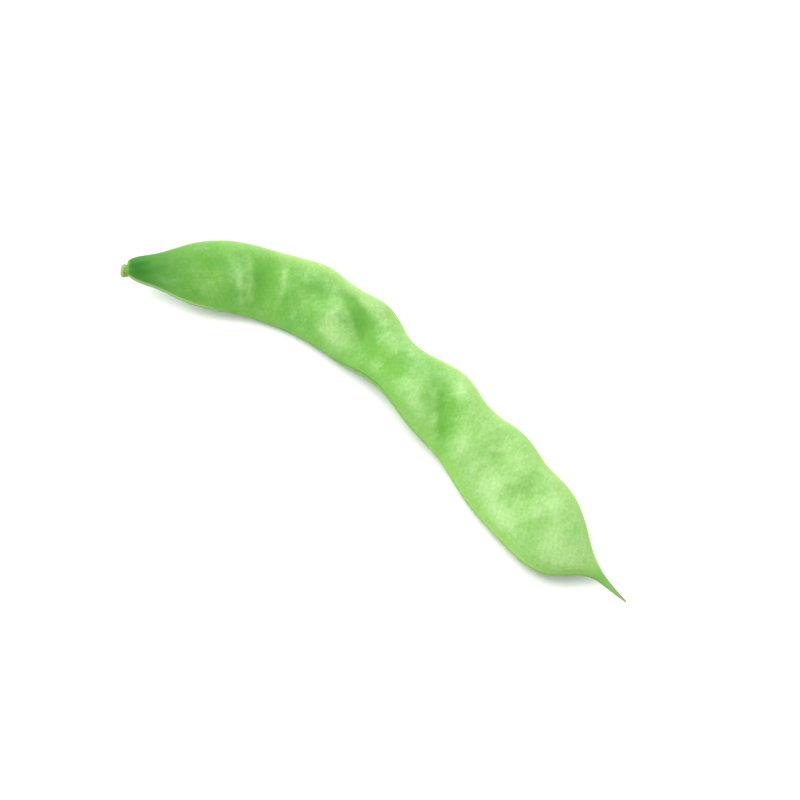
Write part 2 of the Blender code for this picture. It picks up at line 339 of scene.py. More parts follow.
# Other soft patches: size along, size across, contrast, seed
YELLOW_PATCHES = (9.0, 6.0, 1.5, 2.0)
YELLOW_STRENGTH = 0.5
FINE_MOTTLING = (0.9, 0.7, 1.8, 11.0)
FINE_STRENGTH = 0.12
STALK_STREAKS = (0.9, 0.22, 1.8, 1.0)
STREAK_STRENGTH = 0.45
PATCH_DETAIL = 4.0

# Fine pale lines of the wax and painted sheen: their spacing along, across and through, sway,
# width and strength
NET_SPACING = (2.4, 5.5, 4.0)
NET_SWAY = 0.8
NET_SWAY_SIZE = 2.4
NET_SEED = 9.0
NET_LINE = (0.0, 0.16, 1.0, 0.0)
NET_STRENGTH = 0.05

# Faint veins: their slant along and across, closeness, sway, fade in from the edge and strength
VEIN_SLANT = (0.8, 0.6)
VEIN_CLOSENESS = 5.2
VEIN_SWAY = 1.2
VEIN_SWAY_SIZE = 3.0
VEIN_SEED = 8.0
VEIN_FADE = (0.6, 3.0)
VEIN_STRENGTH = 0.08

# Specks: spacing, radius, and the share of places that have one. The dark ones are moved off the
# pale ones
PALE_SPECKS = (1.1, 0.12, 0.55)
PALE_SPECK_STRENGTH = 0.2
DARK_SPECKS = (4.5, 0.2, 0.25)
DARK_SPECK_STRENGTH = 0.45
DARK_SPECKS_MOVED = (7.0, 3.0, 1.0)
STALK_SPECKS = (0.4, 0.07, 0.4)
STALK_SPECK_STRENGTH = 0.5
SPECK_CORE = 0.4

# The stub's fades outwards in mm, from green to tan and on to straw
STALK_FADE = (0.0, 0.9)
STRAW_FADE = (0.9, 1.4)

# Roughness, and how much mottling, dryness and streaks add to it
SKIN_ROUGHNESS = 0.44
ROUGH_MOTTLING = 0.1
ROUGH_DRY_TIP = 0.25
STALK_ROUGHNESS = 0.55
ROUGH_STREAKS = 0.3

# Bump: its height in mm and strength, and the parts of the veins and of the mottling in it
SKIN_BUMP = 0.03
SKIN_BUMP_STRENGTH = 1.0
VEIN_BUMP = 0.2
MOTTLING_BUMP = 0.5
STALK_BUMP = 0.04
STALK_BUMP_STRENGTH = 0.8

# Light that passes through the surface: how far in mm, and the part of that for each colour
GLOW_DEPTH = 1.6
GLOW_COLOURS = (0.5, 1.0, 0.3)
SHEEN_ROUGHNESS = 0.4

# The camera: where it looks, from where, its lens and sensor in mm, the nearest that it sees, the
# picture's side in pixels, and the pixel that shows the point it looks at
AIM = Vector((0.3, -10.65, 5.0)) * MM
AZIMUTH = 38.0
ELEVATION = 60.0
DISTANCE = 567.8 * MM
LENS = 100.0
SENSOR = 36.0
NEAREST = 10.0 * MM
PICTURE = 800
AIM_PIXEL = (372, 420)

# The floor: half its side in metres, and its colour
FLOOR_HALF = 3.0
FLOOR_PALE = (0.85, 0.85, 0.85, 1.0)
FLOOR_ROUGHNESS = 0.9

# The light: the strength of the white world, and each softbox's azimuth, elevation, distance,
# size and watts
WORLD_LIGHT = 0.67
SOFTBOXES = {
    "key_softbox": (275.0, 60.0, 0.8, 0.7, 7.0),
    "back_softbox": (205.0, 28.0, 0.9, 0.6, 7.6),
    "front_softbox": (345.0, 25.0, 0.9, 0.6, 3.3),
}


class Field:
    """A value in a node tree, which takes part in ordinary arithmetic."""

    def __init__(self, sheet, socket):
        self.sheet = sheet
        self.socket = socket

    def __add__(self, other):
        return self.sheet.math("ADD", self, other)

    def __sub__(self, other):
        return self.sheet.math("SUBTRACT", self, other)

    def __rsub__(self, other):
        return self.sheet.math("SUBTRACT", other, self)

    def __mul__(self, other):
        return self.sheet.math("MULTIPLY", self, other)

    def __truediv__(self, other):
        return self.sheet.math("DIVIDE", self, other)

    def __rtruediv__(self, other):
        return self.sheet.math("DIVIDE", other, self)

    def __pow__(self, other):
        return self.sheet.math("POWER", self, other)

    def __neg__(self):
        return self.sheet.math("MULTIPLY", self, -1.0)

    __radd__ = __add__
    __rmul__ = __mul__


class Sheet:
    """A node tree that is being written."""

    def __init__(self, tree):
        self.tree = tree

    def node(self, kind, feeds=(), **settings):
        """Add a node with its settings, and feed its inputs."""
        made = self.tree.nodes.new(kind)
        for name, value in settings.items():
            setattr(made, name, value)
        for key, value in dict(feeds).items():
            self.feed(made.inputs[key], value)
        return made

    def feed(self, socket, value):
        """Join a field to an input, or set the input's own value."""
        if isinstance(value, Field):
            self.tree.links.new(value.socket, socket)
        elif isinstance(value, bpy.types.NodeSocket):
            self.tree.links.new(value, socket)
        else:
            socket.default_value = value

    def field(self, kind, feeds=(), output=0, **settings):
        """Add a node, and give one of its outputs."""
        return Field(self, self.node(kind, feeds, **settings).outputs[output])

    def math(self, operation, *values):
        """Work out a sum, product or other function of one to three values."""
        return self.field("ShaderNodeMath", enumerate(values), operation=operation)

    def absolute(self, value):
        """Give the size of a value."""
        return self.math("ABSOLUTE", value)

    def above(self, value, limit):
        """Give 1 where a value is above the limit, and 0 elsewhere."""
        return self.math("GREATER_THAN", value, limit)

    def bell(self, distance, half_width):
        """Fall smoothly from 1 at no distance towards 0."""
        share = distance / half_width
        return self.math("EXPONENT", -(share * share))

    def between(self, part, first, second):
        """Run from the first value to the second as a part runs from 0 to 1."""
        return first + part * (second - first)

    def ramp(self, value, low, high, to_low=0.0, to_high=1.0):
        """Run smoothly between two values as another does, and stay between them."""
        feeds = {
            "Value": value, "From Min": low, "From Max": high, "To Min": to_low, "To Max": to_high,
        }
        return self.field("ShaderNodeMapRange", feeds, interpolation_type="SMOOTHSTEP")

    def noise(self, vector, size, seed, detail=2.0):
        """Give even noise between about -1 and 1, with lumps of one size."""
        feeds = {"Vector": vector, "W": seed, "Scale": 1 / size, "Detail": detail}
        return (self.field("ShaderNodeTexNoise", feeds, noise_dimensions="4D") - 0.5) * 2.0

    def scaled(self, vector, amount):
        """Lengthen a vector."""
        return self.field("ShaderNodeVectorMath", {0: vector, "Scale": amount}, operation="SCALE")

    def added(self, first, second):
        """Add two vectors."""
        return self.field("ShaderNodeVectorMath", {0: first, 1: second}, operation="ADD")

    def split(self, vector):
        """Give the three parts of a vector."""
        made = self.node("ShaderNodeSeparateXYZ", {0: vector})
        return [Field(self, socket) for socket in made.outputs]

    def joined(self, x, y, z):
        """Make a vector of three parts."""
        return self.field("ShaderNodeCombineXYZ", {0: x, 1: y, 2: z})

    def mix(self, factor, first, second):
        """Blend from one colour to another."""
        # The colours are the node's inputs 6 and 7 and its output 2
        feeds = {0: factor, 6: first, 7: second}
        return self.field("ShaderNodeMix", feeds, 2, data_type="RGBA")

    def coated(self, colour, *coats):
        """Lay coats of colour over a first one, each where its mask says."""
        for mask, coat in coats:
            colour = self.mix(mask, colour, coat)
        return colour

    def moved(self, geometry, **feeds):
        """Give a geometry's points a new Position, or an Offset."""
        return self.field("GeometryNodeSetPosition", {"Geometry": geometry, **feeds})

    def stored(self, geometry, name, value, data_type="FLOAT"):
        """Keep a value on the points of a geometry, for the material."""
        feeds = {"Geometry": geometry, "Name": name, "Value": value}
        return self.field("GeometryNodeStoreNamedAttribute", feeds, data_type=data_type)

    def kept(self, name, data_type="FLOAT"):
        """Read a value that is kept on the points."""
        return self.field("GeometryNodeInputNamedAttribute", {"Name": name}, data_type=data_type)


def new_group(name, kind, inputs, outputs):
    """Make a node group. Give its sheet, its named inputs and the sockets of its output."""
    tree = bpy.data.node_groups.new(name, kind)
    new_socket = tree.interface.new_socket
    number_kinds = {int: "Int", float: "Float"}
    for label, value in inputs.items():
        is_number = not isinstance(value, str)
        socket_kind = number_kinds[type(value)] if is_number else value
        socket = new_socket(name=label, in_out="INPUT", socket_type="NodeSocket" + socket_kind)
        if is_number:
            socket.default_value = value
    for label, socket_kind in outputs.items():
        new_socket(name=label, in_out="OUTPUT", socket_type="NodeSocket" + socket_kind)
    sheet = Sheet(tree)
    given = {socket.name: Field(sheet, socket) for socket in sheet.node("NodeGroupInput").outputs}
    return sheet, given, sheet.node("NodeGroupOutput").inputs


def curve(points, share):
    """Read a smooth natural cubic through the points at each share."""
    at, value = np.array(points).T
    step = np.diff(at)
    rise = np.diff(value) / step
    system = np.eye(len(at))
    pull = np.zeros(len(at))
    for i in range(1, len(at) - 1):
        system[i, i - 1:i + 2] = step[i - 1], 2 * (step[i - 1] + step[i]), step[i]
        pull[i] = 6 * (rise[i] - rise[i - 1])
    bend = np.linalg.solve(system, pull)
    span = np.clip(np.searchsorted(at, share) - 1, 0, len(step) - 1)
    low = share - at[span]
    high = at[span + 1] - share
    cubic = (bend[span] * high**3 + bend[span + 1] * low**3) / (6 * step[span])
    from_low = (value[span] / step[span] - bend[span] * step[span] / 6) * high
    from_high = (value[span + 1] / step[span] - bend[span + 1] * step[span] / 6) * low
    return cubic + from_low + from_high


def ease(value):
    """Run smoothly from 0 to 1 as the value does."""
    held = np.clip(value, 0.0, 1.0)
    return held * held * (3 - 2 * held)


def ring_shares():
    """Give the share of each ring, closer together towards both ends."""
    even = np.linspace(0.0, 1.0, RINGS)
    crowded = (1 - np.cos(math.pi * even)) / 2
    return (1 - END_CROWDING) * even + END_CROWDING * crowded


def section_drop(share):
    """Give how far the plain, rolled section reaches below the spine."""
    cosine = np.cos(np.linspace(0.0, 2 * math.pi, SECTION_POINTS, endpoint=False))[None, :]

    def either(back, front):
        """Read the one curve on the back edge's side, and the other on the front edge's."""
        return np.where(cosine > 0, curve(back, share)[:, None], curve(front, share)[:, None])

    reach = either(BACK_REACH, FRONT_REACH)
    flatness = either(BACK_FLATNESS, FRONT_FLATNESS)
    bulge = (1 - np.minimum(np.abs(cosine), 1.0) ** flatness) ** (1 / SECTION_THROUGH)
    through = bulge * curve(HALF_THICKNESS, share)[:, None]
    roll = np.radians(curve(ROLL, share))[:, None]
    return (through * np.cos(roll) - cosine * reach * np.sin(roll)).max(axis=1)


def spine_axes(share):
    """Give the spine's points, its direction, and the pod's ways across and through."""
    height = curve(SPACE_BELOW, share) + section_drop(share)
    points = np.stack([CHORD * (share - 0.5), curve(BOW, share), height], axis=1)
    along = np.gradient(points, share, axis=0)
    along /= np.linalg.norm(along, axis=1)[:, None]
    level = np.cross([0.0, 0.0, 1.0], along)
    level /= np.linalg.norm(level, axis=1)[:, None]
    upright = np.cross(along, level)
    roll = np.radians(curve(ROLL, share))[:, None]
    across = level * np.cos(roll) + upright * np.sin(roll)
    through = upright * np.cos(roll) - level * np.sin(roll)
    return points, along, across, through


def line_mesh(name, points, numbers, vectors=None):
    """Make a chain of points that carries values for a tree to read."""
    mesh = bpy.data.meshes.new(name)
    mesh.from_pydata(points.tolist(), [(i, i + 1) for i in range(len(points) - 1)], [])
    for label, value in numbers.items():
        mesh.attributes.new(label, "FLOAT", "POINT").data.foreach_set("value", value)
    for label, value in (vectors or {}).items():
        mesh.attributes.new(label, "FLOAT_VECTOR", "POINT").data.foreach_set("vector", value.ravel())
    return mesh


def make_spine():
    """Make the pod's spine, with the sizes of the section at each point."""
    share = ring_shares()
    points, _, across, through = spine_axes(share)
    closing = np.clip(1 - share / STEM_END, 0.0, 1.0)
    curves = {
        "back_reach": BACK_REACH, "front_reach": FRONT_REACH, "back_flatness": BACK_FLATNESS,
        "front_flatness": FRONT_FLATNESS, "half_thickness": HALF_THICKNESS,
    }
    numbers = {
        "share": share,
        "body": ease(share / PLAIN_STEM_END) * ease((1 - share) / PLAIN_TIP),
        "close": STEM_END_FACE + (1 - STEM_END_FACE) * np.sqrt(1 - closing**2),
        **{name: curve(rows, share) for name, rows in curves.items()},
    }
    return line_mesh("pod_spine", points, numbers, {"across_way": across, "through_way": through})


def blank_tube(sheet, rings, sides):
    """Give a closed tube, the number of each point's ring, its turn, and where it has a skin."""
    feeds = {"Vertices": sides, "Side Segments": rings - 1, "Radius": 1.0, "Depth": 1.0}
    tube = sheet.field("GeometryNodeMeshCylinder", feeds, fill_type="TRIANGLE_FAN")
    x, y, z = sheet.split(sheet.field("GeometryNodeInputPosition"))
    ring = sheet.math("ROUND", (0.5 - z) * (rings - 1))
    # The middle point of either end has no skin
    skinned = sheet.above(x * x + y * y, 0.5)
    return tube, ring, sheet.math("ARCTAN2", y, x), skinned


def line_reader(sheet, line, ring):
    """Give a function that reads a value of a line at each point's ring."""
    def read(name, data_type="FLOAT"):
        feeds = {"Geometry": line, "Value": sheet.kept(name, data_type), "Index": ring}
        return sheet.field("GeometryNodeSampleIndex", feeds, data_type=data_type)
    return read


def oval_group():
    """The strength of one oval of a face, which may lie at a slant."""
    names = (
        "Along", "Across", "Oval Along", "Oval Across", "Lean", "Strength", "Half Along", "Half Across",
    )
    inputs = {name: "Float" for name in names}
    sheet, given, result = new_group("oval", "GeometryNodeTree", inputs, {"Strength": "Float"})
    sideways = given["Across"] - given["Oval Across"]
    distance = given["Along"] - given["Oval Along"] - given["Lean"] * sideways
    lengthwise = sheet.bell(distance, given["Half Along"])
    crosswise = sheet.bell(sideways, given["Half Across"])
    sheet.feed(result["Strength"], given["Strength"] * lengthwise * crosswise)
    return sheet.tree


def ovals(sheet, along, across, rows):
    """Give the strength of all the ovals of a list together."""
    strengths = []
    for share, oval_across, lean, strength, half_along, half_across in rows:
        feeds = {
            "Along": along, "Across": across, "Oval Along": CHORD * share, "Oval Across": oval_across,
            "Lean": lean, "Strength": strength, "Half Along": half_along, "Half Across": half_across,
        }
        strengths.append(sheet.field("GeometryNodeGroup", feeds, node_tree=OVAL))
    return sum(strengths, 0.0)


def crease_depth(sheet, share, from_edge, to_back):
    """Give the depth of the crease beside the front edge."""
    there = sheet.ramp(share, *CREASE_STARTS) * (1 - to_back) * sheet.ramp(share, *CREASE_STOPS)
    return CREASE_DEPTH * there * sheet.bell(from_edge - CREASE_IN, CREASE_HALF_WIDTH)


def seam_depth(sheet, from_edge, through, to_back):
    """Give the depth of the seam in either edge."""
    depth = sheet.between(to_back, FRONT_SEAM_DEPTH, BACK_SEAM_DEPTH)
    return depth * sheet.bell(from_edge, SEAM_REACH) * sheet.bell(through, SEAM_HALF_WIDTH)


def pucker_height(sheet, given, turn, along, share):
    """Give the height of the puckers at the stem end."""
    wave = sheet.math("SINE", turn * given["Puckers"] + along)
    return given["Pucker Depth"] * wave * sheet.ramp(share, *PUCKERS_FADE)


def coloured_patches(sheet, pod, along, across, upper):
    """Keep on the points its wax and painted sheen, and dark green and painted shade, in ragged
    patches.
    """
    flat_place = sheet.joined(along, across, 0.0)
    along_seed, across_seed = PATCH_STRAY_SEEDS
    ragged_along = along + sheet.noise(flat_place, PATCH_STRAY_SIZE, along_seed) * PATCH_STRAY
    ragged_across = across + sheet.noise(flat_place, PATCH_STRAY_SIZE, across_seed) * PATCH_STRAY
    wax_and_sheen = ovals(sheet, ragged_along, ragged_across, WAX_AND_SHEEN_PATCHES) * upper
    shade_and_dark_green = ovals(sheet, ragged_along, ragged_across, SHADE_AND_DARK_PATCHES) * upper
    return sheet.stored(sheet.stored(pod, "wax_and_sheen", wax_and_sheen), "shade_and_dark_green", shade_and_dark_green)


def pod_surface(sheet, given):
    """Carry the section along the spine."""
    tube, ring, turn, skinned = blank_tube(sheet, given["Rings"], given["Points Round"])
    # The rings run down the tube but forwards along the spine, which would turn the faces inwards
    tube = sheet.field("GeometryNodeFlipFaces", {"Mesh": tube})
    read = line_reader(sheet, given["Spine"], ring)
    share = read("share")
    body = read("body")

    cosine = sheet.math("COSINE", turn)
    face = sheet.math("SIGN", sheet.math("SINE", turn))
    to_back = sheet.above(cosine, 0.0)
    reach = sheet.between(to_back, read("front_reach"), read("back_reach"))
    flatness = sheet.between(to_back, read("front_flatness"), read("back_flatness"))
    across_share = sheet.absolute(cosine)
    bulge = sheet.math("MAXIMUM", 1 - across_share**flatness, 0.0) ** (1 / SECTION_THROUGH)
    along = share * CHORD
    across = cosine * reach
    through = face * bulge * read("half_thickness")
    from_edge = reach - sheet.absolute(across)

    upper = sheet.above(through, 0.0)
    fade = body * (1 - across_share**FADE_POWER)
    seeds = ovals(sheet, along, across, SEED_OVALS)
    hollows = ovals(sheet, along, across, HOLLOWS)
    rise = seeds * sheet.between(upper, UNDERSIDE_SWELLING, 1.0) * fade
    sink = hollows * sheet.between(upper, UNDERSIDE_HOLLOW, 1.0) * fade
    relief = rise - sink - crease_depth(sheet, share, from_edge, to_back)
    outwards = face * (relief + pucker_height(sheet, given, turn, along, share))
    seam = seam_depth(sheet, from_edge, through, to_back) * body
    inwards = sheet.math("SIGN", cosine) * seam

    close = read("close") * skinned
    across_out = sheet.scaled(read("across_way", "FLOAT_VECTOR"), (across - inwards) * close)
    through_out = sheet.scaled(read("through_way", "FLOAT_VECTOR"), (through + outwards) * close)
    place = sheet.added(read("position", "FLOAT_VECTOR"), sheet.added(across_out, through_out))

    pod = sheet.stored(tube, "pod_place", sheet.joined(along, across, through), "FLOAT_VECTOR")
    for name, value in {"from_edge": from_edge, "rise": rise, "sink": sink, "body": body}.items():
        pod = sheet.stored(pod, name, value)
    pod = coloured_patches(sheet, pod, along, across, upper)
    return sheet.moved(pod, Position=place)


def skin_relief(sheet, pod, given):
    """Raise broad waves and fine pebbles from the skin."""
    place = sheet.field("GeometryNodeInputPosition")
    waves = sheet.noise(place, WAVE_SIZE, given["Seed"]) * given["Wave Height"]
    pebbles = sheet.noise(place, PEBBLE_SIZE, given["Seed"] + PEBBLE_SEED_STEP, PEBBLE_DETAIL)
    height = sheet.kept("body") * (waves + pebbles * given["Pebble Height"])
    return sheet.moved(pod, Offset=sheet.scaled(sheet.field("GeometryNodeInputNormal"), height))


def laid_down(sheet, pod):
    """Keep every point on or above the surface that the pod lies on."""
    x, y, z = sheet.split(sheet.field("GeometryNodeInputPosition"))
    return sheet.moved(pod, Position=sheet.joined(x, y, sheet.math("MAXIMUM", z, 0.0)))


def finished(sheet, piece, finish, result):
    """Smooth a piece, make it one real mesh, and give it its material."""
    piece = sheet.field("GeometryNodeSetShadeSmooth", {"Geometry": piece})
    piece = sheet.field("GeometryNodeRealizeInstances", {"Geometry": piece})
    sheet.feed(result, sheet.field("GeometryNodeSetMaterial", {"Geometry": piece, "Material": finish}))


def pod_tree():
    """The tree that turns the spine into the pod."""
    inputs = {
        "Spine": "Geometry", "Rings": RINGS, "Points Round": RING_POINTS, "Wave Height": WAVE_HEIGHT,
        "Pebble Height": PEBBLE_HEIGHT, "Puckers": float(PUCKERS), "Pucker Depth": PUCKER_DEPTH,
        "Seed": SKIN_SEED, "Skin": "Material",
    }
    sheet, given, result = new_group("pod form", "GeometryNodeTree", inputs, {"Pod": "Geometry"})
    pod = pod_surface(sheet, given)
    pod = skin_relief(sheet, pod, given)
    pod = laid_down(sheet, pod)
    finished(sheet, pod, given["Skin"], result["Pod"])
    return sheet.tree


def make_stub_profile():
    """Make the line that the stub is turned from."""
    out, radius = np.array(STUB_PROFILE).T
    steps = np.arange(len(out), dtype=float)
    at = np.linspace(0.0, steps[-1], STUB_RINGS)
    lines = {"out": out, "radius": radius}
    numbers = {name: curve(list(zip(steps, line)), at) for name, line in lines.items()}
    return line_mesh("stub_profile", np.zeros((STUB_RINGS, 3)), numbers)


def stub_surface(sheet, given):
    """Turn the profile about the stalk's axis, with ribs and a torn end."""
    tube, ring, turn, skinned = blank_tube(sheet, given["Rings"], given["Sides"])
    last = given["Rings"] - 1
    read = line_reader(sheet, given["Profile"], last - ring)
    out = read("out")
    ribs = 1 + given["Rib Height"] * sheet.math("SINE", turn * given["Ribs"] + out)
    radius = read("radius") * ribs * skinned
    x = radius * sheet.math("COSINE", turn)
    y = radius * sheet.math("SINE", turn) * STUB_FLATTENING
    lump_place = sheet.joined(x, y, out * TORN_LUMP_DRAWN)
    lumps = sheet.noise(lump_place, TORN_LUMP, given["Seed"], STUB_DETAIL)
    torn = sheet.ramp(out, *TORN_FADE) * given["Torn Height"]
    stub = sheet.stored(tube, "out", out)
    stub = sheet.moved(stub, Position=sheet.joined(x, y, out + torn * (lumps - TORN_SUNK)))
    place = sheet.field("GeometryNodeInputPosition")
    grain = sheet.noise(place, GRAIN_SIZE, given["Seed"] + GRAIN_SEED_STEP, STUB_DETAIL)
    height = grain * GRAIN_HEIGHT
    return sheet.moved(stub, Offset=sheet.scaled(sheet.field("GeometryNodeInputNormal"), height))


def random_vector(sheet, low, high, seed):
    """Draw a vector for each point."""
    feeds = {"Min": low, "Max": high, "Seed": seed}
    return sheet.field("FunctionNodeRandomValue", feeds, data_type="FLOAT_VECTOR")


def fibres(sheet, given):
    """Stand broken fibres on the torn rim, each with its own length and tilt."""
    ring = sheet.field("GeometryNodeMeshCircle", {"Vertices": given["Fibres"], "Radius": FIBRE_RING})
    x, y, _ = sheet.split(sheet.field("GeometryNodeInputPosition"))
    stray_low = (-FIBRE_STRAY, -FIBRE_STRAY, -FIBRE_SINK)
    stray = random_vector(sheet, stray_low, (FIBRE_STRAY, FIBRE_STRAY, 0.0), FIBRE_PLACE_SEED)
    place = sheet.added(sheet.joined(x, y * STUB_FLATTENING, FIBRE_OUT), stray)
    turn_high = (FIBRE_TILT, FIBRE_TILT, FIBRE_TURN)
    turned = random_vector(sheet, (-FIBRE_TILT, -FIBRE_TILT, 0.0), turn_high, FIBRE_TURN_SEED)
    # For a plain number, the limits are inputs 2 and 3, and the draw is output 1
    size = {2: FIBRE_SHORTEST, 3: 1.0, "Seed": FIBRE_SIZE_SEED}
    cone = {
        "Vertices": FIBRE_SIDES, "Side Segments": FIBRE_SEGMENTS, "Radius Top": FIBRE_TIP_RADIUS,
        "Radius Bottom": given["Fibre Radius"], "Depth": given["Fibre Length"],
    }
    feeds = {
        "Points": sheet.moved(ring, Position=place),
        "Instance": sheet.field("GeometryNodeMeshCone", cone),
        "Rotation": turned,
        "Scale": sheet.field("FunctionNodeRandomValue", size, 1, data_type="FLOAT"),
    }
    grown = sheet.field("GeometryNodeInstanceOnPoints", feeds)
    grown = sheet.field("GeometryNodeRealizeInstances", {"Geometry": grown})
    return sheet.stored(grown, "out", FIBRE_COLOUR_OUT)


def stub_tree():
    """The tree that turns the profile into the stub."""
    inputs = {
        "Profile": "Geometry", "Rings": STUB_RINGS, "Sides": STUB_SIDES, "Ribs": float(STUB_RIBS),
        "Rib Height": STUB_RIB_HEIGHT, "Torn Height": TORN_HEIGHT, "Fibres": FIBRES,
        "Fibre Radius": FIBRE_RADIUS, "Fibre Length": FIBRE_LENGTH, "Seed": STUB_SEED,
        "Stalk": "Material",
    }
    sheet, given, result = new_group("stub form", "GeometryNodeTree", inputs, {"Stub": "Geometry"})
    both = sheet.node("GeometryNodeJoinGeometry")
    sheet.feed(both.inputs[0], stub_surface(sheet, given))
    sheet.feed(both.inputs[0], fibres(sheet, given))
    finished(sheet, Field(sheet, both.outputs[0]), given["Stalk"], result["Stub"])
    return sheet.tree


def grow(name, line, tree, settings):
    """Run a tree on a line, and give the plain mesh that it makes as an object."""
    piece = bpy.data.objects.new(name, line)
    bpy.context.scene.collection.objects.link(piece)
    growth = piece.modifiers.new("growth", "NODES")
    growth.node_group = tree
    for item in tree.interface.items_tree:
        if item.name in settings:
            growth[item.identifier] = settings[item.name]
    evaluated = piece.evaluated_get(bpy.context.evaluated_depsgraph_get())
    mesh = bpy.data.meshes.new_from_object(evaluated)
    piece.modifiers.remove(growth)
    piece.data = mesh
    mesh.name = name
    return piece


def low_corner(piece):
    """Give the lowest corner of a mesh."""
    places = np.empty(len(piece.data.vertices) * 3)
    piece.data.vertices.foreach_get("co", places)
    return Vector(places.reshape(-1, 3).min(axis=0))


def patches_group():
    """Soft patches of one size along and across a surface, as a mask from 0 to 1."""
    inputs = {"Vector": "Vector", "Along": 5.0, "Across": 5.0, "Contrast": 1.0, "Seed": 0.0}
    sheet, given, result = new_group("soft patches", "ShaderNodeTree", inputs, {"Mask": "Float"})
    along, across, through = sheet.split(given["Vector"])
    place = sheet.joined(along / given["Along"], across / given["Across"], through / given["Across"])
    level = sheet.noise(place, 1.0, given["Seed"], PATCH_DETAIL) * given["Contrast"] + 0.5
    sheet.feed(result["Mask"], sheet.ramp(level, 0.0, 1.0))
    return sheet.tree


def specks_group():
    """Small round specks, spread at random, as a mask from 0 to 1."""
    inputs = {"Vector": "Vector", "Spacing": 1.0, "Radius": 0.1, "Share": 0.5}
    sheet, given, result = new_group("specks", "ShaderNodeTree", inputs, {"Mask": "Float"})
    feeds = {"Vector": given["Vector"], "Scale": 1 / given["Spacing"]}
    cells = sheet.node("ShaderNodeTexVoronoi", feeds, voronoi_dimensions="3D")
    distance = Field(sheet, cells.outputs["Distance"]) * given["Spacing"]
    red, _, _ = sheet.split(cells.outputs["Color"])
    chosen = 1 - sheet.above(red, given["Share"])
    dot = sheet.ramp(distance, given["Radius"] * SPECK_CORE, given["Radius"], 1.0, 0.0)
    sheet.feed(result["Mask"], dot * chosen)
    return sheet.tree


def new_material(name):
    """Make a material, and give it with its sheet and its Principled shader."""
    made = bpy.data.materials.new(name)
    made.use_nodes = True
    return made, Sheet(made.node_tree), made.node_tree.nodes["Principled BSDF"]


def patches(sheet, place, along, across, contrast, seed):
    """Place soft patches in a material."""
    feeds = {"Vector": place, "Along": along, "Across": across, "Contrast": contrast, "Seed": seed}
    return sheet.field("ShaderNodeGroup", feeds, node_tree=SOFT_PATCHES)


def specks(sheet, place, spacing, radius, share):
    """Place specks in a material."""
    feeds = {"Vector": place, "Spacing": spacing, "Radius": radius, "Share": share}
    return sheet.field("ShaderNodeGroup", feeds, node_tree=SPECKS)


def set_gloss(shader, specular, sheen, glow):
    """Set the numbers of a finish that are the same all over."""
    numbers = {
        "Specular IOR Level": specular, "Sheen Weight": sheen, "Sheen Roughness": SHEEN_ROUGHNESS,
        "Subsurface Weight": glow, "Subsurface Scale": GLOW_DEPTH * MM,
    }
    for name, value in numbers.items():
        shader.inputs[name].default_value = value
    shader.inputs["Subsurface Radius"].default_value = GLOW_COLOURS


def kept_on(sheet, name, output="Fac"):
    """Read in a material what the tree kept on the points."""
    return sheet.field("ShaderNodeAttribute", {}, output, attribute_name=name)


def pale_net(sheet, place):
    """Fine pale lines that wander across the pod and meet, as a mask."""
    along, across, through = sheet.split(place)
    sway = sheet.noise(place, NET_SWAY_SIZE, NET_SEED) * NET_SWAY
    apart_along, apart_across, apart_through = NET_SPACING
    cell = sheet.joined(
        (along + sway) / apart_along, (across + sway) / apart_across, through / apart_through,
    )
    kinds = {"voronoi_dimensions": "3D", "feature": "DISTANCE_TO_EDGE"}
    from_line = sheet.field("ShaderNodeTexVoronoi", {"Vector": cell, "Scale": 1.0}, **kinds)
    return sheet.ramp(from_line, *NET_LINE)


def wax_and_painted_sheen(sheet, place, share, from_edge):
    """Waxy bloom and painted sheen as a mask: thick over the seeds and the tip half, and mottled."""
    tip_half = sheet.ramp(share, *WAX_AND_SHEEN_CHANGES)
    level = sheet.ramp(share, *WAX_AND_SHEEN_ALONG) + kept_on(sheet, "wax_and_sheen") * WAX_AND_SHEEN_IN_PATCHES
    level = level + sheet.ramp(kept_on(sheet, "rise"), *WAX_AND_SHEEN_OVER_SEEDS)
    in_hollow = sheet.ramp(kept_on(sheet, "sink"), *BARE_IN_HOLLOWS)
    bare = kept_on(sheet, "shade_and_dark_green") * BARE_IN_SHADE_AND_DARK + in_hollow * sheet.between(tip_half, *BARENESS)
    level = level - bare
    for *mottling, strength in WAX_AND_SHEEN_MOTTLING:
        level = level + (patches(sheet, place, *mottling) - 0.5) * strength
    level = level + pale_net(sheet, place) * NET_STRENGTH
    edge_to = sheet.between(tip_half, *WAX_AND_SHEEN_EDGE_TO)
    edge = sheet.ramp(from_edge, WAX_AND_SHEEN_EDGE_FROM, edge_to, sheet.between(tip_half, *WAX_AND_SHEEN_AT_EDGE), 1.0)
    return sheet.ramp(level, *WAX_AND_SHEEN_RANGE) * edge


def rim_highlights(sheet, share, through, from_edge, at_back):
    """Painted highlights along the ridges beside the seams, as a mask."""
    at_ends = sheet.ramp(share, *RIM_LINE_AT_STEM) + sheet.ramp(share, *RIM_LINE_AT_TIP)
    line = sheet.bell(sheet.absolute(through) - RIM_LINE_OUT, RIM_LINE_HALF_WIDTH)
    line = line * sheet.between(at_back, at_ends, 1.0) * sheet.ramp(from_edge, *RIM_LINE_FADE)
    return line * sheet.ramp(share, *RIM_LINE_STOPS)


